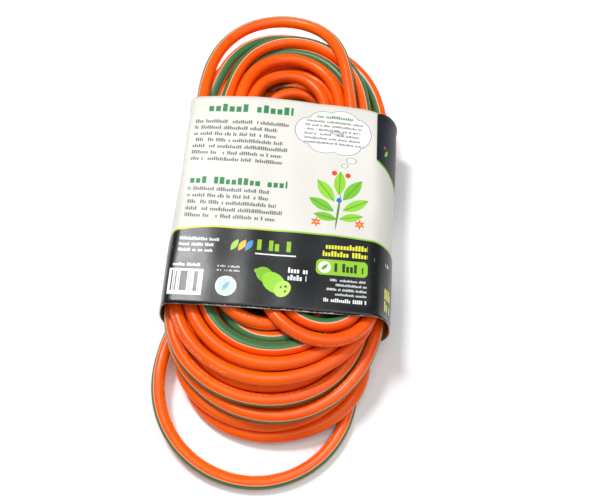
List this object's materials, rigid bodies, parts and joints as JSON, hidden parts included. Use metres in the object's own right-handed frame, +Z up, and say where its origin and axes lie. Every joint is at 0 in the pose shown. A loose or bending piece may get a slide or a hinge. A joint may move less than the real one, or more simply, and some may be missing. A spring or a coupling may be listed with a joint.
{
  "type": "extension cord",
  "caption": "Outdoor extension cord in an orange and green jacket, wound as a long hank inside a folded cardboard sleeve, with a grounded plug and a lighted connector tucked in its middle.",
  "frame": {"origin": "middle of the footprint, on the surface that the hank lies on", "axes": "+Y along the hank, towards the end where the plug's lead turns; +Z up, out of the sleeve's front panel; +X to the right, seen from above with +Y ahead"},
  "size_m": [0.1547, 0.3601, 0.058],
  "materials": {
    "cord_orange": "semi-gloss orange PVC with a green stripe along it",
    "printed_board": "white-faced board, printed, semi-gloss",
    "dry_glue": "dried paper glue",
    "plug_orange": "moulded orange PVC, satin",
    "lime_translucent": "translucent lime moulded PVC",
    "carrier_white": "moulded, satin",
    "carrier_black": "moulded, satin",
    "nickel_brass": "nickel-plated brass, brushed",
    "bare_brass": "stamped spring brass",
    "copper": "bare stranded copper",
    "tinned_lead": "tinned wire",
    "lamp_glass": "clear glass",
    "resistor_tan": "lacquered",
    "wire_black": "satin PVC",
    "wire_white": "satin PVC",
    "wire_green": "satin PVC"
  },
  "bodies": {
    "hank": {"cord_hank": "cord_orange", "cord_lead_plug": "cord_orange", "cord_lead_connector": "cord_orange"},
    "sleeve": {"sleeve_board": "printed_board", "sleeve_glue_line": "dry_glue"},
    "plug": {"plug_body": "plug_orange", "plug_strain_relief": "plug_orange", "plug_cord_end": "cord_orange", "plug_blade_carrier": "carrier_black", "plug_blade_hot": "nickel_brass", "plug_blade_neutral": "nickel_brass", "plug_ground_pin": "nickel_brass", "plug_wire_hot": "wire_black", "plug_core_hot": "copper", "plug_wire_neutral": "wire_white", "plug_core_neutral": "copper", "plug_wire_ground": "wire_green", "plug_core_ground": "copper"},
    "connector": {"connector_body": "lime_translucent", "connector_strain_relief": "lime_translucent", "connector_cord_end": "cord_orange", "connector_contact_carrier": "carrier_white", "connector_contact_hot": "bare_brass", "connector_contact_neutral": "bare_brass", "connector_contact_ground": "bare_brass", "lamp_glass": "lamp_glass", "lamp_lead_hot": "tinned_lead", "lamp_lead_resistor": "tinned_lead", "lamp_lead_neutral": "tinned_lead", "lamp_resistor": "resistor_tan", "connector_wire_hot": "wire_black", "connector_core_hot": "copper", "connector_wire_neutral": "wire_white", "connector_core_neutral": "copper", "connector_wire_ground": "wire_green", "connector_core_ground": "copper"}
  },
  "joints": [
    {"name": "sleeve_slide", "type": "slide", "parent": "hank", "child": "sleeve", "axis": [0, 1, 0], "range_m": [0, 0.26]},
    {"name": "plug_swing", "type": "hinge", "parent": "hank", "child": "plug", "pos_m": [0, 0.0973, 0.0165], "axis": [0, 0, 1], "range_deg": [-10, 10], "stiffness_Nm_per_rad": 0.3},
    {"name": "connector_swing", "type": "hinge", "parent": "hank", "child": "connector", "pos_m": [0, -0.0683, 0.0185], "axis": [0, 0, 1], "range_deg": [-10, 10], "stiffness_Nm_per_rad": 0.3}
  ]
}
